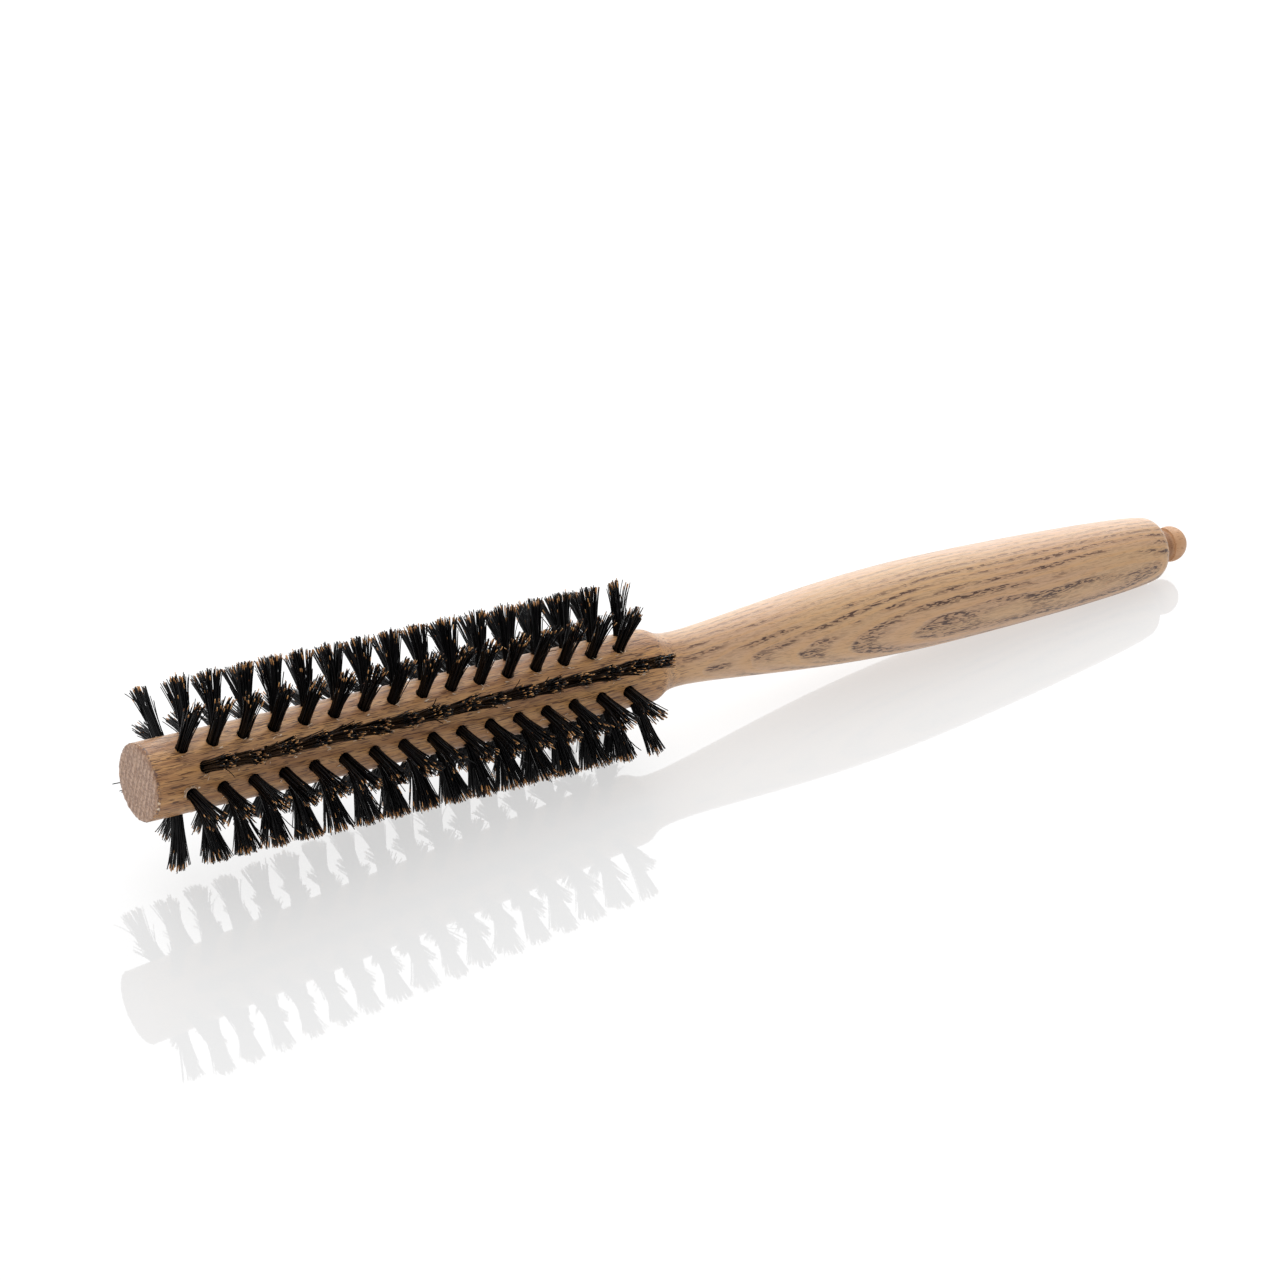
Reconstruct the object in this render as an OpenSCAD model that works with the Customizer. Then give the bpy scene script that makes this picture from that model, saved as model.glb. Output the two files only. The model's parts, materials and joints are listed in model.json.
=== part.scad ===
// Round barrel hair brush.
// One turned wooden body carries ten rows of bristle tufts. Each tuft is folded
// over a flat wire anchor that is driven into the bottom of its drilled hole.
// A sectioning pick is stored in a bore in the handle's end.
// The brush lies on a flat surface, on its tufts and its handle's end, with the
// barrel's flat end towards -X and the pick's head towards +X.

/* [Barrel] */
// Radius of the barrel
barrel_r = 7; // [6.8:0.1:7.4]
// Length of the straight barrel, from its flat end to its shoulder
barrel_l = 106; // [105:0.5:107]
// Bevel round the barrel's flat end
end_bevel = 0.4; // [0.2:0.1:0.8]

/* [Handle] */
// Length of the whole wooden body
body_l = 234; // [231:0.5:238]
// Radius of the neck, the thinnest place
neck_r = 5.15; // [4.8:0.05:5.6]
// Distance from the flat end to the neck
neck_x = 113.5; // [112:0.5:115]
// Radius of the handle's belly, the thickest place
belly_r = 9; // [8.5:0.1:9.8]
// Distance from the flat end to the belly
belly_x = 173; // [168:1:178]
// Radius of the handle where its rounded end starts
tail_r = 6.65; // [6.4:0.05:6.9]
// Angle at which the handle tapers into its rounded end
tail_taper = 10.5; // [8:0.5:12]
// Radius of the rounding round the handle's end
tail_round = 3.2; // [2.8:0.1:3.4]

/* [Tufts] */
// Number of rows round the barrel
rows = 10; // [10:10]
// Tufts in each row
tufts_per_row = 16; // [12:1:16]
// Distance from tuft to tuft along a row
pitch = 6.1; // [5.8:0.05:6.15]
// Distance from the flat end to the first tuft of an even row
first_x = 7; // [6:0.25:8]
// Radius of a drilled hole
hole_r = 1.15; // [1.1:0.05:1.25]
// Depth of a drilled hole below the barrel's surface
hole_depth = 4; // [3.8:0.1:4.2]
// Radius of the circle that the tufts' tips reach
tip_r = 17.2; // [15:0.1:18.5]
// Radius of a tuft at its spread tip
tuft_tip_r = 2.1; // [1.8:0.05:2.2]
// Radius of a tuft's domed top
tuft_dome_r = 4.5; // [4.2:0.1:4.6]

/* [Anchors] */
// Width of an anchor, across the hole and into the wood on both sides
anchor_w = 2.8; // [2.7:0.05:2.95]
// Thickness of the flat wire
anchor_t = 0.3; // [0.25:0.05:0.35]
// Height of an anchor along the hole
anchor_h = 1.4; // [1.2:0.1:1.6]

/* [Pick] */
// Radius of the ball on the pick's head
ball_r = 3.65; // [3.5:0.05:3.7]
// Distance from the handle's end to the ball's centre
ball_offset = 4.2; // [4.1:0.1:4.4]
// Radius of the steel pin
pin_r = 1.2; // [1:0.05:1.3]
// Length of the pin inside the handle
pin_reach = 40; // [30:1:42]

/* [Hidden] */
// Clearance between a tuft and its hole, and between a tuft and its anchor
tuft_gap = 0.05;
// Radial clearance of the pin in the handle's bore
pin_gap = 0.1;
// Seam between the handle's end and the pick's head
seat_gap = 0.15;
// Depth of the bore beyond the pin's point
bore_spare = 2;
// Depth of the pin's seat in the ball
pin_seat = 4;
// Length of the pin's point and the radius at its tip
point_l = 3;
point_r = 0.35;
// Steps in each curve of the body's profile
curve_steps = 14;
// Angle of one step round an arc of the profile
arc_step = 9;

row_angle = 360 / rows;
tuft_r = hole_r - tuft_gap;
hole_floor = barrel_r - hole_depth;
anchor_z = hole_floor + 1.1;
shoulder_l = 5;
end_face_r = tail_r - tail_round * cos(tail_taper);
tail_x = body_l - tail_round * (1 - sin(tail_taper));
bore_r = pin_r + pin_gap;
bore_l = pin_reach + bore_spare;
ball_x = body_l + ball_offset;

// The brush leans towards its handle until the handle touches. The surface also
// meets the dome of the last tuft of the lower rows, which stand half a row's
// angle each side of straight down.
last_tuft_x = first_x + (tufts_per_row - 0.5) * pitch;
dome_drop = (tip_r - tuft_dome_r) * cos(row_angle / 2);
lean = min([for (p = body_outline()) if (p[0] > neck_x) lean_onto(p)]);
axis_height = last_tuft_x * sin(lean) + dome_drop * cos(lean) + tuft_dome_r;
// The model's origin is the middle of its bounding box, at the surface.
front_x = -barrel_r * sin(lean);
back_x = ball_x * cos(lean) + ball_r;
mid_x = (front_x + back_x) / 2;

$fn = 48;

function two_digits(n) = str(n < 10 ? "0" : "", n);
function row_name(kind, row) = str(kind, "_row_", two_digits(row));

// A point at t, from 0 to 1, on a curve between two ends and two pulls.
function curve_point(a, b, c, d, t) =
    pow(1 - t, 3) * a + 3 * pow(1 - t, 2) * t * b + 3 * (1 - t) * t * t * c + t * t * t * d;
function curve(a, b, c, d) = [
    for (i = [1:curve_steps]) curve_point(a, b, c, d, i / curve_steps)
];
// Points on an arc about a centre, from one angle to another.
function arc(centre, r, from, to) = [
    let (steps = max(1, round(abs(to - from) / arc_step)))
    for (i = [0:steps])
        let (a = from + (to - from) * i / steps)
        centre + r * [cos(a), sin(a)]
];

// Lean at which the surface meets both that dome and a point of the outline.
function lean_onto(p) =
    let (run = p[0] - last_tuft_x, rise = dome_drop - p[1])
    atan2(rise, run) + asin(tuft_dome_r / norm([run, rise]));

// Distance from the flat end to a tuft. Odd rows stand half a pitch further on.
function tuft_x(row, n) = first_x + (n + (row % 2 == 0 ? 0.5 : 0)) * pitch;

// Puts the brush, drawn along +X with its axis on the X axis, where it lies.
module laid_down() {
    translate([-mid_x, 0, axis_height]) rotate([0, lean, 0]) children();
}

// Turns something drawn along +Z into something drawn along +X.
module along_x(x) {
    translate([x, 0, 0]) rotate([0, 90, 0]) children();
}

// Places its children at every tuft of a row, with +Z pointing out of the hole.
// The first row points towards -Y, and each next one is turned upwards.
module at_tufts(row) {
    for (n = [0:tufts_per_row - 1])
        translate([tuft_x(row, n), 0, 0])
            rotate([90 - (row - 1) * row_angle, 0, 0])
                children();
}

// Half section of the wooden body, as distance from the flat end and radius.
function body_outline() = concat(
    [[0, 0], [0, barrel_r - end_bevel], [end_bevel, barrel_r], [barrel_l, barrel_r]],
    curve(
        [barrel_l, barrel_r], [barrel_l + shoulder_l * 0.5, barrel_r],
        [barrel_l + shoulder_l * 0.4, neck_r], [neck_x, neck_r]
    ),
    curve([neck_x, neck_r], [neck_x + 9.2, neck_r], [belly_x - 26.6, belly_r], [belly_x, belly_r]),
    curve(
        [belly_x, belly_r], [belly_x + 18, belly_r],
        [tail_x - 7, tail_r + 7 * tan(tail_taper)], [tail_x, tail_r]
    ),
    [
        for (p = arc([body_l - tail_round, end_face_r], tail_round, 90 - tail_taper, 0))
            if (p[0] > tail_x + 0.01) p
    ],
    [[body_l, 0]]
);

module body() {
    color("burlywood") laid_down() difference() {
        along_x(0) rotate_extrude() polygon([for (p = body_outline()) [p[1], p[0]]]);
        for (row = [1:rows])
            at_tufts(row) translate([0, 0, hole_floor]) cylinder(r = hole_r, h = hole_depth + 1);
        along_x(body_l - bore_l) cylinder(r = bore_r, h = bore_l + 1);
    }
}

// Half section of a tuft, as radius and distance from the barrel's axis.
function tuft_outline() =
    let (dome_z = tip_r - tuft_dome_r, edge = asin(tuft_tip_r / tuft_dome_r))
    concat(
        [[0, hole_floor + tuft_gap], [tuft_r, hole_floor + tuft_gap], [tuft_r, barrel_r]],
        arc([0, dome_z], tuft_dome_r, 90 - edge, 90)
    );

module tufts(row) {
    color([0.11, 0.09, 0.08]) laid_down() at_tufts(row) difference() {
        rotate_extrude() polygon(tuft_outline());
        translate([0, 0, anchor_z])
            cube([anchor_w, anchor_t + 2 * tuft_gap, anchor_h + 2 * tuft_gap], center = true);
    }
}

module anchors(row) {
    color("silver") laid_down() at_tufts(row)
        translate([0, 0, anchor_z]) cube([anchor_w, anchor_t, anchor_h], center = true);
}

// Half section of the pick's head: a collar, a shallow groove and a ball.
function head_outline() =
    let (collar_r = ball_r * 0.92, groove_r = ball_r * 0.88, groove_l = 0.6)
    let (ball_start = 180 - asin(0.95), groove_end = ball_offset + ball_r * cos(ball_start) - 0.1)
    concat(
        [[0, seat_gap], [collar_r, seat_gap], [collar_r, groove_end - groove_l]],
        [[groove_r, groove_end]],
        [for (p = arc([ball_offset, 0], ball_r, ball_start, 0)) [p[1], p[0]]]
    );

module pick_head() {
    color("tan") laid_down() difference() {
        along_x(body_l) rotate_extrude() polygon(head_outline());
        along_x(body_l - 1) cylinder(r = pin_r, h = 1 + pin_seat);
    }
}

module pick_pin() {
    color("silver") laid_down() {
        along_x(body_l - pin_reach + point_l) cylinder(r = pin_r, h = pin_reach - point_l + pin_seat);
        along_x(body_l - pin_reach) cylinder(r1 = point_r, r2 = pin_r, h = point_l);
    }
}

body();
for (row = [1:rows]) {
    tufts(row);
    anchors(row);
}
pick_head();
pick_pin();
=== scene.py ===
"""Looks of the round barrel hair brush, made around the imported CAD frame.

Shapes are worked out in the brush's own frame, in millimetres: x runs along the
brush from the barrel's flat end to the pick's head, and a direction round it is
an angle from -Y upwards. to_row() turns such points into the row frame, in metres.
"""

import json
import math

import bpy
import numpy as np
from mathutils import Matrix, Vector


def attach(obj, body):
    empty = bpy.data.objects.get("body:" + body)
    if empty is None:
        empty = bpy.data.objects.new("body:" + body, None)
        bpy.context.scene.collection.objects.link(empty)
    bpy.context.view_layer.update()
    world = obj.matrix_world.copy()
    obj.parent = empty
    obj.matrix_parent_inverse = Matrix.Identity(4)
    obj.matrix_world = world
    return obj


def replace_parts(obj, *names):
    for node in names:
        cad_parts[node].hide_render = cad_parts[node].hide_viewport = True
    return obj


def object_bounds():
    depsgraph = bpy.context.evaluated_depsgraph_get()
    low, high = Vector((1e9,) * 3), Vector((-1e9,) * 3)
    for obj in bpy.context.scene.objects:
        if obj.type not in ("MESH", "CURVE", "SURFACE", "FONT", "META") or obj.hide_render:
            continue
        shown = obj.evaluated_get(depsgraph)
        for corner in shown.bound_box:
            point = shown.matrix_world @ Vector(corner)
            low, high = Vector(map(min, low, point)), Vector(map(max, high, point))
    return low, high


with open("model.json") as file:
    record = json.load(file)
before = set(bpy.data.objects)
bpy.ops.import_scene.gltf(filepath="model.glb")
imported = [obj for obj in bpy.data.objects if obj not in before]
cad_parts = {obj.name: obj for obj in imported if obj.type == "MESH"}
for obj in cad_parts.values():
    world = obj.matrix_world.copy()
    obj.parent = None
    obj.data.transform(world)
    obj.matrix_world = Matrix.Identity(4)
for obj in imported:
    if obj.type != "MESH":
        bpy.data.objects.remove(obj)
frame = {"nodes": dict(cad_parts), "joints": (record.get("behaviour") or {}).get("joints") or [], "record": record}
cad_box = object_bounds()

# ---------------------------------------------------------------- frame values

MM = 0.001
NODES = frame["nodes"]
MOUNTS = {m["name"]: m for m in frame["record"]["mounts"]}
END_CENTRE = np.array(MOUNTS["barrel_end"]["pos_m"])
AXIS = Vector(frame["joints"][0]["axis"]).normalized()
SIDE = Vector((0, 1, 0))
BASIS = np.array([AXIS, SIDE, AXIS.cross(SIDE)])
LEAN = math.atan2(-AXIS.z, AXIS.x)

ROWS = 10
ROW_STEP = 2 * math.pi / ROWS
HOLE_R = 1.15
HOLE_DEPTH = 4.0
BORE_R = 1.3
# Depth of the bore beyond the pin's point.
BORE_SPARE = 2
BEVEL = 0.4
# The stretch where the barrel narrows into the neck.
SHOULDER = (104.0, 119.0)
# From the handle's end to the edge round the back of the pick's ball.
PICK_EDGE = 3.1


def to_row(points):
    """Points of the brush's frame, in millimetres, in the row frame, in metres."""
    return END_CENTRE + np.asarray(points, float) @ BASIS * MM


def brush_points(node):
    """A CAD node's vertices in the brush's frame, in millimetres."""
    co = np.array([v.co for v in NODES[node].data.vertices], float)
    return (co - END_CENTRE) @ BASIS.T / MM


def radii(points):
    """Distances of points from the brush's axis."""
    return np.hypot(points[:, 1], points[:, 2])


def around(x, radius, angle):
    """Points at a distance along the brush, a radius and a direction round it."""
    x, radius, angle = np.broadcast_arrays(x, radius, angle)
    return np.stack([x, -radius * np.cos(angle), radius * np.sin(angle)], -1)


def row_stations(row):
    """Distances from the flat end to the tufts of a row, read where they stand in their holes."""
    points = brush_points(f"tufts_row_{row:02d}")
    xs = np.sort(points[radii(points) < BARREL_R - HOLE_DEPTH / 2, 0])
    groups = np.split(xs, np.where(np.diff(xs) > HOLE_R)[0] + 1)
    return [(g[0] + g[-1]) / 2 for g in groups]


BODY_POINTS = brush_points("body")
FRONT_POINTS = BODY_POINTS[BODY_POINTS[:, 0] < BEVEL * 2]
BARREL_R = float(radii(FRONT_POINTS).max())
STATIONS = [row_stations(row) for row in range(1, ROWS + 1)]
PITCH = STATIONS[0][1] - STATIONS[0][0]
FIRST_X = min(stations[0] for stations in STATIONS)
LAST_X = max(stations[-1] for stations in STATIONS)
TIP_R = float(radii(brush_points("tufts_row_01")).max())
BODY_L = float(BODY_POINTS[:, 0].max())
PIN_START = float(brush_points("pick_pin")[:, 0].min())


# ---------------------------------------------------------------- mesh helpers

EXPORT_UV = "OFBake"


def add_piece(name, points, faces, material, uvs, sharp_degrees=None):
    """Makes a piece from points of the brush's frame. uvs holds one pair for each face corner."""
    mesh = bpy.data.meshes.new(name)
    mesh.from_pydata(to_row(points).tolist(), [], faces)
    layer = mesh.uv_layers.new(name=EXPORT_UV)
    layer.data.foreach_set("uv", np.asarray(uvs, np.float32).ravel())
    mesh.materials.append(material)
    mesh.polygons.foreach_set("use_smooth", [True] * len(mesh.polygons))
    if sharp_degrees is not None:
        mesh.set_sharp_from_angle(angle=math.radians(sharp_degrees))
    mesh.update()
    piece = bpy.data.objects.new(name, mesh)
    bpy.context.scene.collection.objects.link(piece)
    return piece


def spline(points, step):
    """Points about a step apart on a smooth curve through the given points."""
    p = np.asarray(points, float)
    p = np.vstack([2 * p[0] - p[1], p, 2 * p[-1] - p[-2]])
    out = []
    for a, b, c, d in zip(p, p[1:], p[2:], p[3:], strict=False):
        count = max(1, int(np.ceil(np.linalg.norm(c - b) / step)))
        for t in np.arange(count) / count:
            pull = 2 * b + (c - a) * t + (2 * a - 5 * b + 4 * c - d) * t**2
            out.append(0.5 * (pull + (3 * b - a - 3 * c + d) * t**3))
    return np.array(out + [p[-2]])


def softened(curve, span, passes=3):
    """The curve with its radii evened out within a span of the brush, as sanding does."""
    curve = curve.copy()
    inside = (curve[1:-1, 0] > span[0]) & (curve[1:-1, 0] < span[1])
    for _ in range(passes):
        even = (curve[:-2, 1] + 2 * curve[1:-1, 1] + curve[2:, 1]) / 4
        curve[1:-1, 1] = np.where(inside, even, curve[1:-1, 1])
    return curve


# Rings have CELL columns of points for each row of tufts.
CELL = 12
AROUND = CELL * ROWS
COLUMN_ANGLE = 2 * math.pi / AROUND
COLUMN_ANGLES = -ROW_STEP / 2 + COLUMN_ANGLE * np.arange(AROUND)


class Shell:
    """A mesh that is put together from rings round the brush and from the cells of the holes."""

    def __init__(self):
        self.points, self.faces, self.uvs = [], [], []
        self.lattice = {}

    def add(self, point):
        self.points.append(point)
        return len(self.points) - 1

    def ring(self, x, radius, jitter=0.0, rng=None):
        """A ring of points round the brush. jitter roughens it, in millimetres."""
        r = np.full(AROUND, float(radius))
        xs = np.full(AROUND, float(x))
        if jitter:
            r = r + rng.normal(0, jitter, AROUND)
            xs = xs + rng.normal(0, jitter, AROUND)
        return [self.add(p) for p in around(xs, r, COLUMN_ANGLES)]

    def face(self, corners, uvs):
        self.faces.append(corners)
        self.uvs.extend(uvs)

    def band(self, a, b, at_a, at_b, to_uv):
        """Faces between two rings. to_uv gives the map's place of a ring's measure and a column."""
        for i in range(AROUND):
            k = (i + 1) % AROUND
            uvs = [to_uv(at_a, i), to_uv(at_a, i + 1), to_uv(at_b, i + 1), to_uv(at_b, i)]
            self.face([a[i], a[k], b[k], b[i]], uvs)

    def fan(self, ring, middle, at_ring, at_middle, to_uv, turned_over=False):
        """Faces from a ring to a point in its middle. turned_over swaps their two sides."""
        for i in range(AROUND):
            corners = [ring[i], ring[(i + 1) % AROUND], middle]
            uvs = [to_uv(at_ring, i), to_uv(at_ring, i + 1), to_uv(at_middle, i)]
            if turned_over:
                corners, uvs = corners[::-1], uvs[::-1]
            self.face(corners, uvs)


# ----------------------------------------------------------- material helpers


def new_material(name):
    material = bpy.data.materials.new(name)
    material.use_nodes = True
    return material, material.node_tree, material.node_tree.nodes["Principled BSDF"]


def add_node(tree, kind, inputs=None, **settings):
    """Adds a shader node. An input is a plain value or another node's output."""
    node = tree.nodes.new("ShaderNode" + kind)
    for key, value in settings.items():
        setattr(node, key, value)
    for key, value in (inputs or {}).items():
        if isinstance(value, bpy.types.NodeSocket):
            tree.links.new(value, node.inputs[key])
        else:
            node.inputs[key].default_value = value
    return node


def maths(tree, operation, a, b=0.0):
    return add_node(tree, "Math", {0: a, 1: b}, operation=operation).outputs[0]


def times(tree, a, b):
    return maths(tree, "MULTIPLY", a, b)


def fade(tree, value, low, high, to_low=0.0, to_high=1.0):
    """A smooth change from to_low to to_high as value goes from low to high."""
    inputs = {0: value, 1: low, 2: high, 3: to_low, 4: to_high}
    return add_node(tree, "MapRange", inputs, interpolation_type="SMOOTHSTEP").outputs[0]


def blend(tree, factor, a, b):
    """Mixes two colours, which are plain colours or outputs."""
    return add_node(tree, "Mix", {0: factor, 6: a, 7: b}, data_type="RGBA").outputs[2]


def bump(tree, shader, height, strength, depth):
    """Relief on the surface. depth is what a height of 1 stands for, in millimetres."""
    inputs = {"Strength": strength, "Distance": depth * MM, "Height": height}
    tree.links.new(add_node(tree, "Bump", inputs).outputs[0], shader.inputs["Normal"])


def colour(red, green, blue):
    """A colour from its 0 to 255 values as seen on a screen."""
    return tuple(((c / 255 + 0.055) / 1.055) ** 2.4 for c in (red, green, blue)) + (1.0,)


def brush_space(tree):
    """The brush's own coordinates, in millimetres."""
    inputs = {
        "Vector": add_node(tree, "TexCoord").outputs["Object"],
        "Location": tuple(END_CENTRE),
        "Rotation": (0, LEAN, 0),
        "Scale": (MM, MM, MM),
    }
    return add_node(tree, "Mapping", inputs, vector_type="TEXTURE").outputs[0]


def noise(tree, where, along, across, detail, offset=0.0):
    """Noise drawn out along the brush: features of a length along it and a width across it."""
    inputs = {
        "Vector": where,
        "Location": (offset, offset, offset),
        "Scale": (1 / along, 1 / across, 1 / across),
    }
    stretched = add_node(tree, "Mapping", inputs).outputs[0]
    return add_node(tree, "TexNoise", {"Vector": stretched, "Scale": 1.0, "Detail": detail})


def grain(tree, where, along, across, detail=2.0, offset=0.0):
    """The value of such noise, which lies around 0.5."""
    return noise(tree, where, along, across, detail, offset).outputs["Fac"]


def wandering(tree, where, along, across, reach):
    """The coordinates pushed sideways a little, as grain wanders from a straight line."""
    push = noise(tree, where, along, across, 1.0).outputs["Color"]
    inputs = {0: push, 1: (0.5, 0.5, 0.5)}
    centred = add_node(tree, "VectorMath", inputs, operation="SUBTRACT").outputs[0]
    inputs = {0: centred, 1: (0.0, reach, reach), 2: where}
    return add_node(tree, "VectorMath", inputs, operation="MULTIPLY_ADD").outputs[0]


# ---------------------------------------------------------------- ash material

WOOD_PINK = colour(206, 166, 132)
WOOD_TAN = colour(207, 168, 126)
WOOD_LATE = colour(208, 160, 108)
WOOD_FIBRE = colour(176, 128, 90)
WOOD_SMOKE = colour(168, 127, 94)
WOOD_TORN = colour(248, 226, 200)
HANDLE_PORE = colour(74, 45, 31)
BARREL_TAN = colour(202, 149, 90)
BARREL_DARK = colour(164, 112, 66)
BARREL_BROWN = colour(114, 70, 36)
BARREL_PORE = colour(72, 40, 20)
RIM_DENT = colour(104, 74, 62)
END_EARLY = colour(178, 140, 114)
END_LATE = colour(204, 168, 142)
END_DOT = colour(134, 96, 76)

# The barrel's browner wood gives way to the handle's paler wood within this stretch.
TONE_CHANGE = (104, 118)

# The growth rings are flat sheets that face RING_ANGLE below -Y and come nearer
# to the brush's axis by RING_TILT for each millimetre towards the handle. One
# starts at RING_DEPTH, RING_STATION along the brush. Counting starts RINGS_BEFORE
# rings deeper, which keeps the count above zero through the whole brush.
RING_ANGLE = math.radians(6)
RING_TILT = 0.03
RING_STATION = 117.5
RING_DEPTH = 5.1
RING_WIDTH = 1.3
RINGS_BEFORE = 40


class WoodSpace:
    """Where a point of the wood is, along the straight brush and along its wandering grain."""

    def __init__(self, tree):
        self.straight = brush_space(tree)
        self.x, self.y, self.z = add_node(tree, "SeparateXYZ", {0: self.straight}).outputs
        broadly = wandering(tree, self.straight, 45, 16, 2.2)
        self.wavy = wandering(tree, broadly, 9, 3, 0.4)
        self.nearly_straight = wandering(tree, self.straight, 14, 2, 0.5)
        squares = maths(tree, "ADD", times(tree, self.y, self.y), times(tree, self.z, self.z))
        self.radius = maths(tree, "SQRT", squares)
        self.on_barrel = fade(tree, self.x, *TONE_CHANGE, 1.0, 0.0)


def growth_rings(tree, at):
    """Place within a growth ring, 0 to 1, outwards from where its open pores start."""
    facing = (RING_TILT, -math.cos(RING_ANGLE), -math.sin(RING_ANGLE))
    inputs = {0: at.wavy, 1: facing}
    depth = add_node(tree, "VectorMath", inputs, operation="DOT_PRODUCT").outputs["Value"]
    first = RING_DEPTH + RING_TILT * RING_STATION - RINGS_BEFORE * RING_WIDTH
    counted = maths(tree, "DIVIDE", maths(tree, "SUBTRACT", depth, first), RING_WIDTH)
    return maths(tree, "FRACT", counted)


def pore_bands(tree, at, early):
    """The early wood's bands of pores, which are weaker where the rings are cut edge on."""
    radius = maths(tree, "MAXIMUM", at.radius, 0.1)
    flat_cut = maths(tree, "DIVIDE", maths(tree, "ABSOLUTE", at.y), radius)
    patchy = fade(tree, grain(tree, at.wavy, 22, 2.6, 2.0, 9.7), 0.4, 0.56, 0.12, 1.0)
    patchy = times(tree, patchy, fade(tree, flat_cut, 0.2, 0.75, 0.4, 1.0))
    return times(tree, early, patchy)


def pore_dashes(tree, at, bands_past_barrel):
    """Open pores: dashes along the grain in the handle's bands, and thin strays everywhere."""
    dashes = fade(tree, grain(tree, at.nearly_straight, 1.7, 0.27, 1.0, 3.1), 0.49, 0.55)
    thin = fade(tree, grain(tree, at.nearly_straight, 2.6, 0.2, 1.0, 17.3), 0.57, 0.63)
    share = maths(tree, "ADD", 0.22, times(tree, at.on_barrel, 0.6))
    banded = times(tree, bands_past_barrel, dashes)
    return maths(tree, "MAXIMUM", banded, times(tree, thin, share))


def handle_tone(tree, at, ring, fibre, bands):
    """The handle's pale wood: pinkish and tan, with brown fibres, and smoky in the bands."""
    tint = fade(tree, grain(tree, at.wavy, 60, 5, 2.0, 5.0), 0.36, 0.64)
    pale = blend(tree, tint, WOOD_PINK, WOOD_TAN)
    streaked = blend(tree, fade(tree, fibre, 0.45, 0.75, 0.0, 0.55), pale, WOOD_FIBRE)
    late = fade(tree, ring, 0.55, 0.95, 0.0, 0.5)
    return blend(tree, times(tree, bands, 0.5), blend(tree, late, streaked, WOOD_LATE), WOOD_SMOKE)


def barrel_tone(tree, at, bands):
    """The barrel's browner wood, with dark clouds and thin brown lines."""
    lines = fade(tree, grain(tree, at.nearly_straight, 4, 0.2, 2.0, 31.0), 0.47, 0.61, 0.0, 0.65)
    cloudy = fade(tree, grain(tree, at.wavy, 30, 2.2, 2.0, 22.0), 0.4, 0.62)
    darker = maths(tree, "MAXIMUM", times(tree, bands, 0.6), cloudy)
    return blend(tree, lines, blend(tree, darker, BARREL_TAN, BARREL_DARK), BARREL_BROWN)


def torn_wood(tree, at, tone):
    """Fresh pale wood where the drill left the barrel's surface raised or sunk."""
    raised = fade(tree, at.radius, BARREL_R + 0.005, BARREL_R + 0.03)
    sunk = fade(tree, at.radius, BARREL_R - 0.16, BARREL_R - 0.06, 0.75, 0.0)
    past_rim = fade(tree, at.x, BEVEL * 4, BEVEL * 5.5)
    on_side = times(tree, past_rim, fade(tree, at.x, SHOULDER[0] - 1, SHOULDER[0], 1.0, 0.0))
    return blend(tree, times(tree, maths(tree, "MAXIMUM", raised, sunk), on_side), tone, WOOD_TORN)


def worn_rim(tree, at, tone):
    """Dark dents and pale chips round the edge of the flat end, with more chips on its lower side."""
    on_rim = fade(tree, at.x, BEVEL * 1.6, BEVEL * 2.6, 0.9, 0.0)
    dents = fade(tree, grain(tree, at.straight, 0.5, 0.9, 1.0, 14.2), 0.48, 0.56)
    chips = fade(tree, grain(tree, at.straight, 0.7, 0.8, 2.0, 6.6), 0.56, 0.62)
    chips = times(tree, chips, fade(tree, at.z, -2, 4, 1.0, 0.15))
    dented = blend(tree, times(tree, dents, on_rim), tone, RIM_DENT)
    return blend(tree, times(tree, chips, on_rim), dented, WOOD_TORN)


def ash_wood():
    """Ash: flat growth rings whose dark open pores lie in bands, seen as dashes along the grain."""
    material, tree, shader = new_material("ash_wood")
    at = WoodSpace(tree)
    ring = growth_rings(tree, at)
    opening, closing = fade(tree, ring, 0.0, 0.1), fade(tree, ring, 0.3, 0.72, 1.0, 0.0)
    early = times(tree, opening, closing)
    fibre = grain(tree, at.nearly_straight, 7, 0.22, 3.0, 1.7)

    bands = pore_bands(tree, at, early)
    bands_past_barrel = times(tree, bands, fade(tree, at.x, 108, 116, 0.1, 1.0))
    pores = pore_dashes(tree, at, bands_past_barrel)
    on_handle = handle_tone(tree, at, ring, fibre, bands_past_barrel)
    toned = blend(tree, times(tree, at.on_barrel, 0.85), on_handle, barrel_tone(tree, at, bands))
    pore_tone = blend(tree, at.on_barrel, HANDLE_PORE, BARREL_PORE)
    pored = blend(tree, times(tree, pores, 0.97), toned, pore_tone)
    side_tone = worn_rim(tree, at, torn_wood(tree, at, pored))

    on_end = fade(tree, at.x, BEVEL * 0.3, BEVEL * 1.1, 1.0, 0.0)
    dots = fade(tree, grain(tree, at.wavy, 6, 0.42, 5.0, 2.5), 0.46, 0.58)
    end_tone = blend(tree, times(tree, dots, 0.7), blend(tree, early, END_LATE, END_EARLY), END_DOT)
    tree.links.new(blend(tree, on_end, side_tone, end_tone), shader.inputs["Base Color"])

    tree.links.new(fade(tree, fibre, 0.3, 0.7, 0.36, 0.5), shader.inputs["Roughness"])
    polish = fade(tree, at.on_barrel, 0, 1, 0.38, 0.15)
    tree.links.new(polish, shader.inputs["Coat Weight"])
    shader.inputs["Coat Roughness"].default_value = 0.3
    relief = maths(tree, "SUBTRACT", times(tree, fibre, 0.3), pores)
    bump(tree, shader, blend(tree, on_end, relief, times(tree, dots, -0.5)), 0.6, 0.13)
    return material


# ------------------------------------------------------------- other materials

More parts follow.
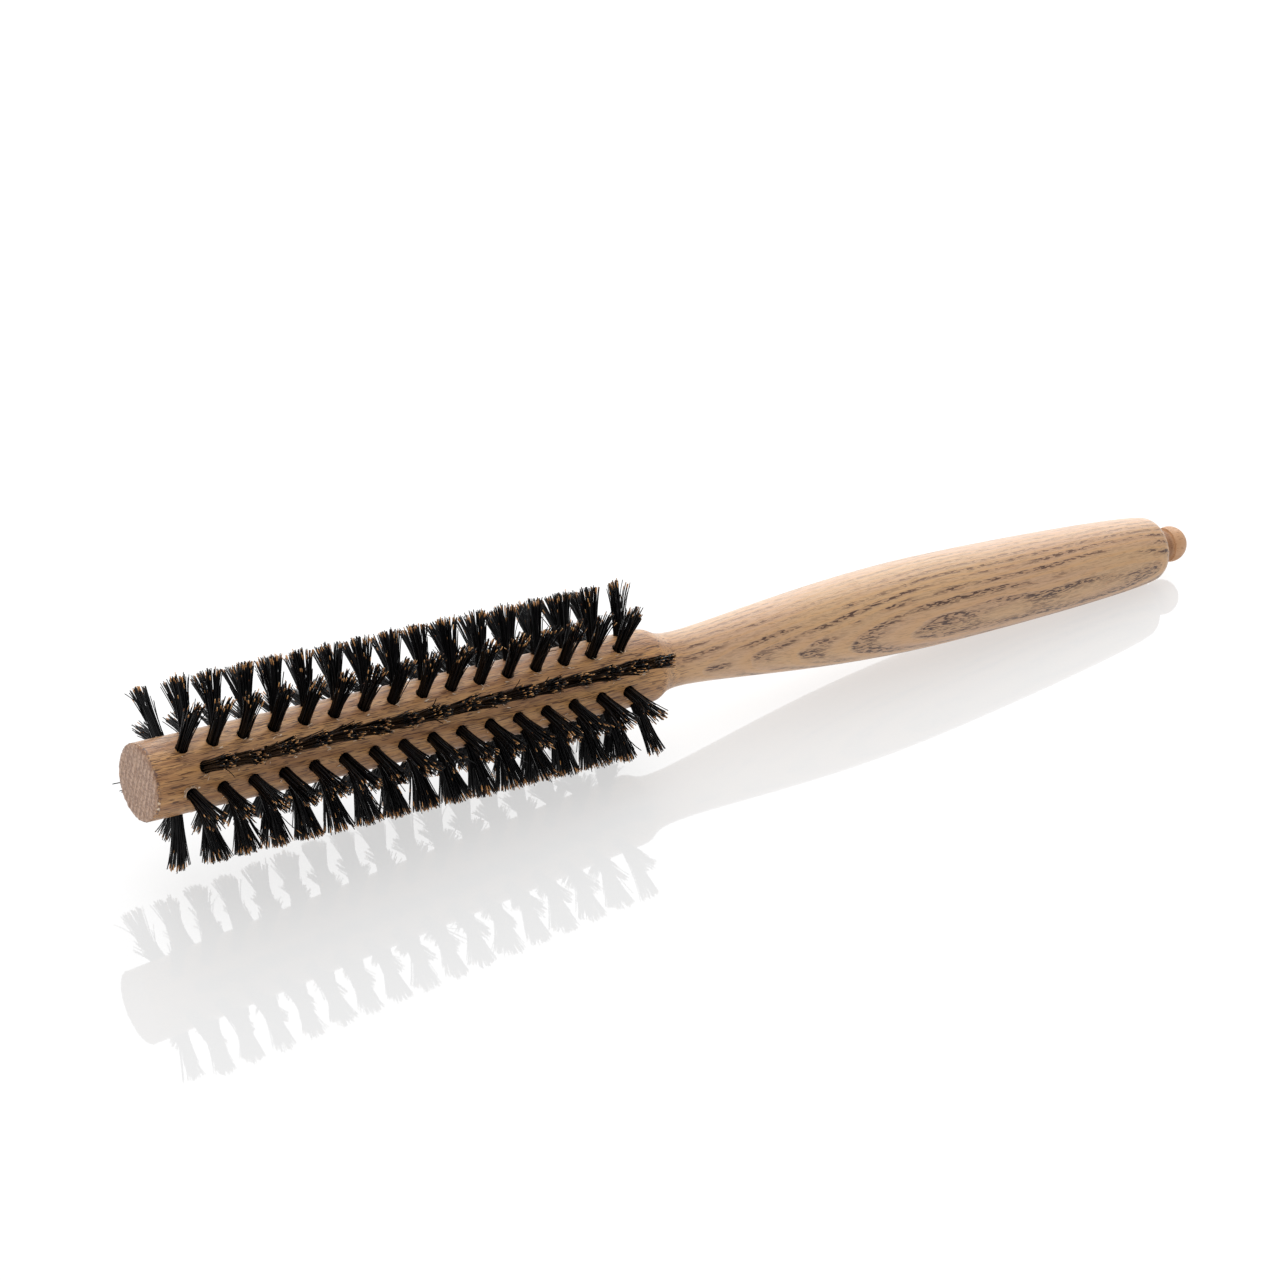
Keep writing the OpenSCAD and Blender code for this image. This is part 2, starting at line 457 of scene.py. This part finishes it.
BEECH_PALE = colour(206, 160, 120)
BEECH_TAN = colour(192, 144, 102)
BEECH_FLECK = colour(152, 104, 70)
# Painted shade: the dark colour laid on the collar where the handle's end shades it.
BEECH_PAINTED_SHADE = colour(112, 70, 44)
HAIR_BLACK = colour(5, 5, 7)
HAIR_SOFT_BLACK = colour(14, 13, 16)
TIP_BROWN = colour(90, 50, 30)
TIP_TAN = colour(226, 164, 102)
TIP_END = colour(250, 220, 172)
WIRE_STEEL = (0.62, 0.62, 0.6, 1)
PIN_STEEL = (0.68, 0.68, 0.69, 1)


def beech_wood():
    """Beech: close and even, with small brown flecks, and painted shade on the collar, in the nook by the handle's
    end.
    """
    material, tree, shader = new_material("beech_wood")
    where = brush_space(tree)
    x = add_node(tree, "SeparateXYZ", {0: where}).outputs[0]
    flecks = fade(tree, grain(tree, where, 1.1, 0.22, 1.0, 4.4), 0.56, 0.68, 0.0, 0.6)
    cloud = fade(tree, grain(tree, where, 6, 2.5, 2.0, 8.8), 0.35, 0.65)
    flecked = blend(tree, flecks, blend(tree, cloud, BEECH_PALE, BEECH_TAN), BEECH_FLECK)
    edge = BODY_L + PICK_EDGE
    # Painted shade: the collar, in the nook between the handle's end and the ball, is darkened in colour up to the
    # edge round the ball's back.
    collar_painted_shade = fade(tree, x, edge - 0.7, edge, 0.55, 0.0)
    tree.links.new(blend(tree, collar_painted_shade, flecked, BEECH_PAINTED_SHADE), shader.inputs["Base Color"])
    tree.links.new(fade(tree, cloud, 0, 1, 0.4, 0.52), shader.inputs["Roughness"])
    bump(tree, shader, flecks, 0.2, 0.05)
    return material


def bristle():
    """Black bristle. The map's u runs from root to tip, and its v tells how pale the tip is."""
    material, tree, shader = new_material("bristle")
    uv = add_node(tree, "UVMap", uv_map=EXPORT_UV).outputs[0]
    u, v = add_node(tree, "SeparateXYZ", {0: uv}).outputs[:2]
    start = fade(tree, v, 0.5, 1.0, 0.97, 0.88)
    tipped = fade(tree, u, start, maths(tree, "ADD", start, 0.04))
    tint = times(tree, tipped, fade(tree, v, 0.58, 0.64))
    brown = blend(tree, fade(tree, v, 0.6, 0.98), TIP_BROWN, TIP_TAN)
    ends = times(tree, fade(tree, u, 0.975, 1.0, 0.0, 0.8), fade(tree, v, 0.7, 0.95))
    black = blend(tree, fade(tree, v, 0.0, 0.6), HAIR_BLACK, HAIR_SOFT_BLACK)
    shown = blend(tree, tint, black, blend(tree, ends, brown, TIP_END))
    tree.links.new(shown, shader.inputs["Base Color"])
    tree.links.new(fade(tree, v, 0, 1, 0.2, 0.3), shader.inputs["Roughness"])
    shader.inputs["Specular IOR Level"].default_value = 0.24
    return material


def drawn_steel(name, tone, streak):
    """Drawn steel with darker streaks along the wire. streak is their length in millimetres."""
    material, tree, shader = new_material(name)
    lines = grain(tree, brush_space(tree), streak, 0.08)
    darker = tuple(0.75 * c for c in tone[:3]) + (1,)
    shown = blend(tree, fade(tree, lines, 0.3, 0.7), tone, darker)
    tree.links.new(shown, shader.inputs["Base Color"])
    tree.links.new(fade(tree, lines, 0.3, 0.7, 0.22, 0.36), shader.inputs["Roughness"])
    shader.inputs["Metallic"].default_value = 1.0
    return material


# -------------------------------------------------------------- drilled barrel

BODY_SEED = 11
# How far a hole's rim is worn out beyond its drill, and how uneven it is, as
# shares of its radius, and how deep its edge is worn down.
RIM_WEAR = 1.05
RIM_RAGGED = 0.035
RIM_SUNK = 0.04
# Rings of points round a hole, as shares of the way from its cell's border to its
# rim, and the depths of the rings down its wall.
CLEAN_RINGS = (0.4, 0.75, 1.0)
TORN_RINGS = (0.3, 0.5, 0.66, 0.8, 0.9, 1.0)
WALL_DEPTHS = (0.12, 1.2, HOLE_DEPTH)
# The direction from a torn hole's centre to its torn side, and how far the fibres
# there are pushed down or up.
TORN_SIDE = math.radians(115)
TORN_LIFT = (-0.2, 0.35)
# Splinters: how many a hole has at least and at most, how far below its centre they
# stand as shares of its radius, and their sizes.
FEWEST_SLIVERS, MOST_SLIVERS = 1, 3
SLIVER_BELOW = (1.05, 1.7)
SLIVER_LENGTH = (0.5, 1.3)
SLIVER_WIDTH = (0.07, 0.15)
SLIVER_LIFT = (0.15, 0.4)
SLIVER_ROOT = 0.05
SLIVER_THICK = 0.07

# The barrel's surface is a lattice. Each hole has a cell of it, CELL steps wide
# and CELL columns high. A place of the lattice is a step along and a column.
LATTICE_STEP = PITCH / CELL
LATTICE_START = FIRST_X - PITCH / 2
LATTICE_END = round((LAST_X + PITCH / 2 - LATTICE_START) / LATTICE_STEP)

# The map for the export: the outside is unrolled on the lower part, and the
# holes, the splinters and the round end faces have strips above it.
MARGIN = 0.002
OUTSIDE_TOP = 0.88
HOLES_LOW, HOLES_HIGH = 0.89, 0.92
SLIVERS_LOW, SLIVERS_HIGH = 0.924, 0.932
SLIVER_MAP = 0.004
FLOOR_MAP = 0.01
ENDS_CENTRE = 0.965
ENDS_R = 0.03


def outside_uv(x, column):
    return (MARGIN + (1 - 2 * MARGIN) * x / BODY_L, OUTSIDE_TOP * column / AROUND)


def disc_uv(middle):
    """The map of a round end face: a small disc about a place on the top strip."""

    def to_uv(radius, column):
        angle = COLUMN_ANGLE * column
        share = ENDS_R * radius / BARREL_R
        return (middle + share * math.cos(angle), ENDS_CENTRE + share * math.sin(angle))

    return to_uv


FRONT_UV, BORE_UV = disc_uv(middle=0.05), disc_uv(middle=0.15)


def lattice_x(step):
    return LATTICE_START + step * LATTICE_STEP


def lattice_point(shell, step, column):
    """The point of the barrel's lattice at a place, made when first asked for."""
    key = (step, column % AROUND)
    if key not in shell.lattice:
        shell.lattice[key] = shell.add(around(lattice_x(step), BARREL_R, COLUMN_ANGLES[key[1]]))
    return shell.lattice[key]


def plain_cell(shell, step, column):
    """One face of the lattice where there is no hole."""
    places = [(step, column), (step + 1, column), (step + 1, column + 1), (step, column + 1)]
    corners = [lattice_point(shell, *place) for place in places]
    shell.face(corners, [outside_uv(lattice_x(s), c) for s, c in places])


class Hole:
    """One drilled hole: its place, and the border of its cell as offsets from its centre."""

    def __init__(self, first_step, first_column):
        steps = range(CELL)
        border = [(k, 0) for k in steps] + [(CELL, k) for k in steps]
        border += [(CELL - k, CELL) for k in steps] + [(0, CELL - k) for k in steps]
        self.places = [(first_step + s, first_column + c) for s, c in border]
        self.column = first_column + CELL / 2
        self.x = lattice_x(first_step + CELL / 2)
        self.angle = COLUMN_ANGLES[0] + self.column * COLUMN_ANGLE
        offsets = np.array(border) - CELL / 2
        self.border = offsets * (LATTICE_STEP, COLUMN_ANGLE * BARREL_R)
        self.heading = np.arctan2(self.border[:, 1], self.border[:, 0])
        self.circle = np.stack([np.cos(self.heading), np.sin(self.heading)], -1)

    def surface(self, offsets, height):
        """Points at offsets from the hole's centre and a height above the barrel's surface."""
        angle = self.angle + np.arcsin(np.clip(offsets[:, 1] / BARREL_R, -1, 1))
        return around(self.x + offsets[:, 0], BARREL_R + height, angle)

    def wall(self, depth):
        """Points round the hole's wall. The first ring follows the barrel's curve."""
        along, side = (self.circle * HOLE_R).T
        curve = np.sqrt(BARREL_R**2 - side**2) - BARREL_R if depth < 1 else 0 * side
        axis_point = around(self.x + along, BARREL_R, self.angle)
        across = around(0.0, 1.0, self.angle + math.pi / 2) * side[:, None]
        out = around(0.0, 1.0, self.angle)
        return axis_point + across + out * (curve - depth)[:, None]

    def uv(self, offset):
        return outside_uv(self.x + offset[0], self.column + offset[1] / BARREL_R / COLUMN_ANGLE)


def rim_heights(share, bumps, tear, rng):
    """Heights round a torn hole, on the ring at a share of the way from its border to its rim."""
    sunk = -tear * (0.2 + 0.6 * bumps) * max(0.0, share - 0.6) / 0.4
    return sunk + tear * rng.uniform(*TORN_LIFT, len(tear)) * (0.7 < share < 0.95)


def hole_cell(shell, first_step, first_column, rng, torn=False):
    """The barrel's surface round one hole, and the hole's wall and floor."""
    hole = Hole(first_step, first_column)
    count = len(hole.places)
    ragged = 1 + RIM_RAGGED * rng.standard_normal(count)
    rim = hole.circle * (HOLE_R * RIM_WEAR * ragged)[:, None]
    bumps = rng.random(count)
    tear = np.clip(np.cos(hole.heading - TORN_SIDE), 0, 1) ** 0.7

    ring = [lattice_point(shell, *place) for place in hole.places]
    spots = hole.border
    for share in TORN_RINGS if torn else CLEAN_RINGS:
        new_spots = hole.border * (1 - share) + rim * share
        if torn:
            height = rim_heights(share, bumps, tear, rng)
        else:
            height = -RIM_SUNK * bumps * (share == 1.0)
        new = [shell.add(p) for p in hole.surface(new_spots, height)]
        for m in range(count):
            k = (m + 1) % count
            uvs = [hole.uv(s) for s in (spots[m], spots[k], new_spots[k], new_spots[m])]
            shell.face([ring[m], ring[k], new[k], new[m]], uvs)
        ring, spots = new, new_spots
    hole_wall(shell, hole, ring)


def hole_wall(shell, hole, ring):
    """The hole's wall and floor below the last ring of the surface."""
    strip = (HOLES_HIGH - HOLES_LOW) / len(WALL_DEPTHS)
    count = len(ring)
    for n, depth in enumerate(WALL_DEPTHS):
        new = [shell.add(p) for p in hole.wall(depth)]
        low = HOLES_LOW + strip * n
        high = low + strip
        for m in range(count):
            k = (m + 1) % count
            start, end = m / count, (m + 1) / count
            uvs = [(start, low), (end, low), (end, high), (start, high)]
            shell.face([ring[m], ring[k], new[k], new[m]], uvs)
        ring = new
    floor_uvs = [(0.5 + FLOOR_MAP * c, HOLES_LOW + FLOOR_MAP * s) for c, s in hole.circle]
    shell.face(ring, floor_uvs)


def sliver(shell, x, angle, rng):
    """A thin splinter beside a hole: it starts in the surface and its tip stands off it."""
    length, width = rng.uniform(*SLIVER_LENGTH), rng.uniform(*SLIVER_WIDTH)
    lift, turn = rng.uniform(*SLIVER_LIFT), rng.normal(0, 0.4)
    way = rng.choice([-1.0, 1.0])
    u = rng.random() * 0.99

    def spot(share, side, rise):
        along = way * length * share * math.cos(turn)
        swing = length * share * math.sin(turn) + side
        return shell.add(around(x + along, BARREL_R + rise, angle + swing / BARREL_R))

    def face(corners, uvs):
        shell.face(corners if way > 0 else corners[::-1], uvs)

    rings = []
    for share in (0.0, 0.4, 0.75):
        half, base = width * (1 - 0.6 * share), lift * share**1.5 - SLIVER_ROOT
        sides = [spot(share, -half, base), spot(share, half, base)]
        rings.append([*sides, spot(share, 0.0, base + SLIVER_THICK)])
    tip = spot(1.0, 0.0, lift - 0.03)
    high_u = u + SLIVER_MAP
    square = [(u, SLIVERS_LOW), (high_u, SLIVERS_LOW), (high_u, SLIVERS_HIGH), (u, SLIVERS_HIGH)]
    for k in range(3):
        n = (k + 1) % 3
        for a, b in zip(rings, rings[1:], strict=False):
            face([a[k], a[n], b[n], b[k]], square)
        face([rings[2][k], rings[2][n], tip], square[:3])
    face(rings[0][::-1], square[:3])


def hole_slivers(shell, rng):
    """Splinters left by the drill along the lower side of the holes."""
    for row, stations in enumerate(STATIONS):
        for x in stations:
            for _ in range(rng.integers(FEWEST_SLIVERS, MOST_SLIVERS + 1)):
                below = HOLE_R * rng.uniform(*SLIVER_BELOW)
                angle = row * ROW_STEP - below / BARREL_R
                sliver(shell, x + rng.uniform(-0.8, 0.8), angle, rng)


def drilled_barrel(shell, rng):
    """The barrel with the holes of every row. The wood is torn at the first hole of the first row."""
    for row, stations in enumerate(STATIONS):
        column = row * CELL
        start = round((stations[0] - PITCH / 2 - LATTICE_START) / LATTICE_STEP)
        end = start + len(stations) * CELL
        for step in range(start, end, CELL):
            hole_cell(shell, step, column, rng, torn=(row == 0 and step == start))
        for step in [*range(0, start), *range(end, LATTICE_END)]:
            for k in range(CELL):
                plain_cell(shell, step, column + k)


# ------------------------------------------------------------------- wood body

# The worn edge of the flat end, from the barrel's side to its face: distances from
# the end, radii, and how uneven it is there.
FACE_R = BARREL_R - BEVEL * 1.15
WORN_EDGE = [
    (BEVEL, BARREL_R - 0.02, 0.05),
    (BEVEL * 0.45, BARREL_R - BEVEL * 0.55, 0.06),
    (0.02, FACE_R, 0.035),
]
# Rings of points over the flat end, as shares of its radius, and how uneven the
# end is at its edge.
FACE_RINGS = (0.86, 0.7, 0.54, 0.38, 0.22, 0.08)
FACE_UNEVEN = 0.04
# Length of the steps along the handle.
HANDLE_STEP = 1.1
# Depths of the rings of points down the bore, before its end.
BORE_DEPTHS = (2, 12, 27)


def lattice_ring(shell, step):
    return [lattice_point(shell, step, i) for i in range(AROUND)]


def barrel_front(shell, rng):
    """From the first holes to the flat end, with its worn and slightly uneven bevel."""
    ring, ring_x = lattice_ring(shell, 0), LATTICE_START
    straight = [(x, BARREL_R, 0.0) for x in np.linspace(LATTICE_START, BEVEL * 1.9, 6)[1:]]
    for x, r, jitter in straight + WORN_EDGE:
        new = shell.ring(x, r, jitter, rng)
        shell.band(new, ring, x, ring_x, outside_uv)
        ring, ring_x = new, x

    ring_r = FACE_R
    for share in FACE_RINGS:
        r = FACE_R * share
        new = shell.ring(0.0, r, FACE_UNEVEN * share, rng)
        shell.band(new, ring, r, ring_r, FRONT_UV)
        ring, ring_r = new, r
    middle = shell.add(around(0.0, 0.0, 0.0))
    shell.fan(ring, middle, ring_r, 0.0, FRONT_UV, turned_over=True)


def outline_past_holes():
    """(distance, radius) points of the CAD body's outside beyond its last hole, in order."""
    past = BODY_POINTS[BODY_POINTS[:, 0] > LAST_X + HOLE_R * 1.5]
    rings = {}
    for x, r in zip(past[:, 0], radii(past), strict=True):
        if r > BORE_R * 1.5:
            key = round(float(x), 2)
            rings[key] = max(rings.get(key, 0.0), float(r))
    return np.array(sorted(rings.items()))


def handle(shell):
    """The shoulder, neck and handle, and the bore for the pick in its end."""
    outline = outline_past_holes()
    start_x = lattice_x(LATTICE_END)
    start = np.array([[start_x, BARREL_R]])
    curve = spline(np.vstack([start, outline[outline[:, 0] > start_x + 0.2]]), HANDLE_STEP)
    ring, ring_x = lattice_ring(shell, LATTICE_END), start_x
    for x, r in softened(curve, SHOULDER)[1:]:
        new = shell.ring(x, r)
        shell.band(ring, new, ring_x, x, outside_uv)
        ring, ring_x = new, x

    bore_l = BODY_L - PIN_START + BORE_SPARE
    end_r = spread = curve[-1, 1]
    steps = [(0, end_r * 0.7), (0, BORE_R + 0.2), (0.2, BORE_R)]
    for depth, r in steps + [(depth, BORE_R) for depth in (*BORE_DEPTHS, bore_l)]:
        new = shell.ring(BODY_L - depth, r)
        shell.band(ring, new, spread, spread * 0.8, BORE_UV)
        ring, spread = new, spread * 0.8
    middle = shell.add(around(BODY_L - bore_l, 0.0, 0.0))
    shell.fan(ring, middle, spread, 0.0, BORE_UV)


def turned_body(material):
    """The wooden body with its holes, from the flat end to the bore for the pick."""
    rng = np.random.default_rng(BODY_SEED)
    shell = Shell()
    drilled_barrel(shell, rng)
    barrel_front(shell, rng)
    handle(shell)
    hole_slivers(shell, rng)
    piece = add_piece(
        "turned_body", shell.points, shell.faces, material, shell.uvs, sharp_degrees=38
    )
    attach(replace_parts(piece, "body"), "brush")


# ---------------------------------------------------------------------- tufts

TUFT_SEED = 100
HAIRS = 66
HAIR_SIDES = 3
HAIR_R = 0.115
# Length of the point at a hair's tip.
HAIR_TIP = 0.12
# Rings of points up a hair, as shares of its free length, and its thickness there.
HAIR_HEIGHTS = np.array([-0.15, 0.0, 0.3, 0.52, 0.7, 0.86, 1.0])
HAIR_TAPER = np.array([1.0, 1.0, 1.0, 1.0, 0.97, 0.93, 0.86])
FREE_LENGTH = TIP_R - BARREL_R
# Shares of the hairs that are short or that stray.
SHORT_SHARE = 0.24
STRAY_SHARE = 0.028
# Groups that a tuft's hairs lean in, and how far each folded half parts at its tips.
LOBES = 4
HALVES_GAP = 0.22


def disc_points(rng, count, radius):
    """Points spread evenly over a disc."""
    turn = rng.random(count) * 2 * math.pi
    r = radius * np.sqrt((np.arange(count) + 0.5) / count)
    return np.stack([np.cos(turn), np.sin(turn)], -1) * r[:, None]


def tuft_hairs(rng):
    """Paths of a tuft's hairs: places along the row, across it and above the barrel's surface."""
    root = disc_points(rng, HAIRS, HOLE_R - HAIR_R)
    outer = np.linalg.norm(root, axis=1) / HOLE_R

    # Hairs lean together in a few lobes, and the tuft's two folded halves part a little.
    lobes = rng.normal(0, 0.7, (LOBES, 2))
    nearest = np.argmin(np.linalg.norm(root[:, None] - lobes[None], axis=2), axis=1)
    pull = (rng.normal(0, 0.24, (LOBES, 2)) + 0.26 * lobes)[nearest]
    spread = root * rng.uniform(0.25, 0.85, HAIRS)[:, None] + pull
    spread += rng.normal(0, 0.17, (HAIRS, 2)) + rng.normal(0, 0.22, 2)
    spread[:, 0] += HALVES_GAP * np.sign(root[:, 0])
    spread[:, 1] *= 0.68

    length = 0.985 + rng.normal(0, 0.022, HAIRS) - 0.025 * outer**2
    short = rng.random(HAIRS) < SHORT_SHARE * (0.4 + outer)
    length[short] = rng.uniform(0.6, 0.95, short.sum())
    spread[short] *= 1.25
    stray = rng.random(HAIRS) < STRAY_SHARE
    spread[stray] += rng.normal(0, 1.4, (stray.sum(), 2))
    bend = rng.uniform(1.7, 2.8, HAIRS)[:, None]
    bend[short] *= 0.8

    # A hair that leans further out reaches less high.
    reach = HAIR_HEIGHTS * np.clip(length, 0, 1.07)[:, None]
    lean = np.clip(reach, 0, 2) ** bend
    side = root[:, None, :] + spread[:, None, :] * lean[:, :, None]
    drop = 0.05 * np.clip((side**2).sum(-1) - (root**2).sum(-1)[:, None], 0, 14)
    return np.dstack([side, reach * FREE_LENGTH - drop])


def place_hairs(paths, x, angle):
    """A tuft's hair paths in the brush's frame."""
    along = np.array([1.0, 0.0, 0.0])
    across = around(0.0, 1.0, angle + math.pi / 2)
    out = around(0.0, 1.0, angle)
    return around(x, BARREL_R, angle) + paths @ np.array([along, across, out])


def kept_above_floor(points, clearance):
    """Hair ends that would pass below the floor lie on it instead."""
    row = (to_row(points.reshape(-1, 3)) - END_CENTRE) / MM
    floor = -END_CENTRE[2] / MM + clearance
    row[:, 2] = np.maximum(row[:, 2], floor)
    return (row @ BASIS.T).reshape(points.shape)


def hair_points(paths, angle, rng):
    """Rings of points along many tapered hairs, and a point at each hair's tip."""
    hairs = len(paths)
    along = np.array([1.0, 0.0, 0.0])
    across = around(0.0, 1.0, angle + math.pi / 2)
    twist = rng.random(hairs) * 2 * math.pi
    thickness = HAIR_R * rng.uniform(0.85, 1.12, hairs)
    corners = twist[:, None] + 2 * math.pi * np.arange(HAIR_SIDES) / HAIR_SIDES
    section = np.cos(corners)[..., None] * along + np.sin(corners)[..., None] * across
    size = thickness[:, None] * HAIR_TAPER
    tubes = paths[:, :, None, :] + section[:, None, :, :] * size[:, :, None, None]
    heading = paths[:, -1] - paths[:, -2]
    heading /= np.linalg.norm(heading, axis=1)[:, None]
    tips = paths[:, -1] + heading * HAIR_TIP
    return np.concatenate([tubes.reshape(hairs, -1, 3), tips[:, None, :]], axis=1).reshape(-1, 3)


def hair_faces(hairs, rng):
    """Faces and map of the hairs. A hair's place across the map also sets its tone."""
    rings = len(HAIR_HEIGHTS)
    per_hair = rings * HAIR_SIDES + 1
    tone = rng.random(hairs)
    u = 0.01 + 0.98 * np.clip(HAIR_HEIGHTS, 0, 1)
    faces, uvs = [], []
    for h in range(hairs):
        base = h * per_hair
        low, high = tone[h] * 0.98 + 0.005, tone[h] * 0.98 + 0.012
        for s in range(HAIR_SIDES):
            k = (s + 1) % HAIR_SIDES
            for r in range(rings - 1):
                a = base + r * HAIR_SIDES
                b = a + HAIR_SIDES
                faces.append((a + s, a + k, b + k, b + s))
                uvs += [(u[r], low), (u[r], high), (u[r + 1], high), (u[r + 1], low)]
            top = base + (rings - 1) * HAIR_SIDES
            faces.append((top + s, top + k, base + per_hair - 1))
            uvs += [(u[-1], low), (u[-1], high), (1.0, low)]
        faces.append(tuple(base + s for s in reversed(range(HAIR_SIDES))))
        uvs += [(0.0, low)] * HAIR_SIDES
    return faces, uvs


def tuft_row(row, material):
    """The hairs of every tuft in a row."""
    rng = np.random.default_rng(TUFT_SEED + row)
    angle = (row - 1) * ROW_STEP
    tufts = [place_hairs(tuft_hairs(rng), x, angle) for x in STATIONS[row - 1]]
    paths = kept_above_floor(np.concatenate(tufts), HAIR_R * 1.5)
    points = hair_points(paths, angle, rng)
    faces, uvs = hair_faces(len(paths), rng)
    piece = add_piece(f"bristles_row_{row:02d}", points, faces, material, uvs)
    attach(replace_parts(piece, f"tufts_row_{row:02d}"), "brush")


# ----------------------------------------------------------------------- pick

# The collar's waist: shares of its length, and radii as shares of the ball's.
COLLAR = [(0.0, 0.82), (0.35, 0.74), (0.7, 0.75), (0.9, 0.82), (0.98, 0.9)]


def pick_outline():
    """(distance, radius) points of the pick's head: the collar, and an arc round the ball."""
    cad = brush_points("pick_head")
    seat, top = float(cad[:, 0].min()), float(cad[:, 0].max())
    ball_r = float(radii(cad).max())
    centre = top - ball_r
    edge = BODY_L + PICK_EDGE
    collar = [(seat + (edge - seat) * share, ball_r * r) for share, r in COLLAR]
    turns = np.linspace(math.acos((edge - centre) / ball_r), 0.02, 26)
    ball = np.stack([centre + ball_r * np.cos(turns), ball_r * np.sin(turns)], -1)
    return np.vstack([collar, ball]), top


def pick_head(material):
    """The turned head: a waisted collar, and a ball with a crisp edge round its back."""
    outline, top = pick_outline()
    seat = outline[0, 0]

    def side_uv(x, column):
        return ((x - seat) / (top - seat) * 0.98 + 0.01, column / AROUND * 0.9)

    def cap_uv(u, _):
        return (u, 0.95)

    shell = Shell()
    rings = [shell.ring(x, r) for x, r in outline]
    for a, b, x_a, x_b in zip(rings, rings[1:], outline[:, 0], outline[1:, 0], strict=False):
        shell.band(a, b, x_a, x_b, side_uv)
    back, tip = shell.add(around(seat, 0.0, 0.0)), shell.add(around(top, 0.0, 0.0))
    shell.fan(rings[0], back, 0.0, 0.0, cap_uv, turned_over=True)
    shell.fan(rings[-1], tip, 1.0, 1.0, cap_uv)
    piece = add_piece(
        "pick_ball", shell.points, shell.faces, material, shell.uvs, sharp_degrees=30
    )
    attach(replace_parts(piece, "pick_head"), "pick")


def give_material(node, material):
    """The material of a CAD node that is shown as it is."""
    NODES[node].data.materials.clear()
    NODES[node].data.materials.append(material)


# ---------------------------------------------------------------------- stage

# The camera looks at a point of the row frame, in millimetres. Its angles are in
# degrees: turned from +Y towards +X, then down, then rolled.
LENS, SENSOR = 111.8, 36
CAMERA_AIM = (-9.4, 7.9, 16.2)
CAMERA_DISTANCE = 750
CAMERA_TURN, CAMERA_DOWN, CAMERA_ROLL = 36.40, 31.31, 4.08
FLOOR_TONE = 0.3
FLOOR_GLOW = 0.57
FLOOR_HALF = 4.0
WORLD_GLOW = 0.56


def rotation(degrees, axis):
    return Matrix.Rotation(math.radians(degrees), 4, axis)


def add_camera():
    """A long lens where the photo was taken from, as seen from the brush itself."""
    camera = bpy.data.cameras.new("camera")
    camera.lens, camera.sensor_width = LENS, SENSOR
    holder = bpy.data.objects.new("camera", camera)
    bpy.context.scene.collection.objects.link(holder)
    heading = rotation(-CAMERA_TURN, "Z") @ rotation(90 - CAMERA_DOWN, "X")
    view = heading @ rotation(CAMERA_ROLL, "Z")
    back = view.col[2].to_3d()
    place = (Vector(CAMERA_AIM) + CAMERA_DISTANCE * back) * MM
    holder.matrix_world = Matrix.Translation(place) @ view
    bpy.context.scene.camera = holder


def add_panel(name, place, size, brightness):
    """A square soft light that faces the brush. brightness is what a mirror would show of it."""
    low, high = (Vector(corner) for corner in cad_box)
    lamp = bpy.data.lights.new(name, "AREA")
    lamp.size = size
    lamp.energy = brightness * math.pi * size**2
    holder = bpy.data.objects.new(name, lamp)
    holder.location = place
    heading = (low + high) / 2 - Vector(place)
    holder.rotation_euler = heading.to_track_quat("-Z", "Y").to_euler()
    bpy.context.scene.collection.objects.link(holder)


def add_floor():
    """A plain pale glossy floor, lit through a little, as a studio's white table is."""
    material, _, shader = new_material("floor")
    shader.inputs["Base Color"].default_value = (FLOOR_TONE, FLOOR_TONE, FLOOR_TONE, 1)
    shader.inputs["Roughness"].default_value = 0.02
    shader.inputs["IOR"].default_value = 1.53
    shader.inputs["Emission Color"].default_value = (1, 1, 1, 1)
    shader.inputs["Emission Strength"].default_value = FLOOR_GLOW
    mesh = bpy.data.meshes.new("floor")
    corners = [(x * FLOOR_HALF, y * FLOOR_HALF, 0) for x, y in ((-1, -1), (1, -1), (1, 1), (-1, 1))]
    mesh.from_pydata(corners, [], [(0, 1, 2, 3)])
    mesh.materials.append(material)
    floor = bpy.data.objects.new("floor", mesh)
    bpy.context.scene.collection.objects.link(floor)


def add_lights():
    """A plain white surround, a panel behind the brush that the floor mirrors, and one above."""
    world = bpy.data.worlds.new("studio")
    bpy.context.scene.world = world
    world.use_nodes = True
    background = world.node_tree.nodes["Background"]
    background.inputs["Color"].default_value = (1, 1, 1, 1)
    background.inputs["Strength"].default_value = WORLD_GLOW
    add_panel("back_panel", place=(0.75, 1.05, 0.85), size=1.8, brightness=2.1)
    add_panel("top_panel", place=(-0.1, 0.05, 1.5), size=1.7, brightness=0.9)
    bpy.context.scene.view_settings.view_transform = "Standard"


# ---------------------------------------------------------------------- scene

add_camera()
turned_body(ash_wood())
hair = bristle()
anchor_steel = drawn_steel("anchor_wire", WIRE_STEEL, 3)
for row_number in range(1, ROWS + 1):
    tuft_row(row_number, hair)
    give_material(f"anchors_row_{row_number:02d}", anchor_steel)
pick_head(beech_wood())
give_material("pick_pin", drawn_steel("pin_steel", PIN_STEEL, 12))
add_floor()
add_lights()
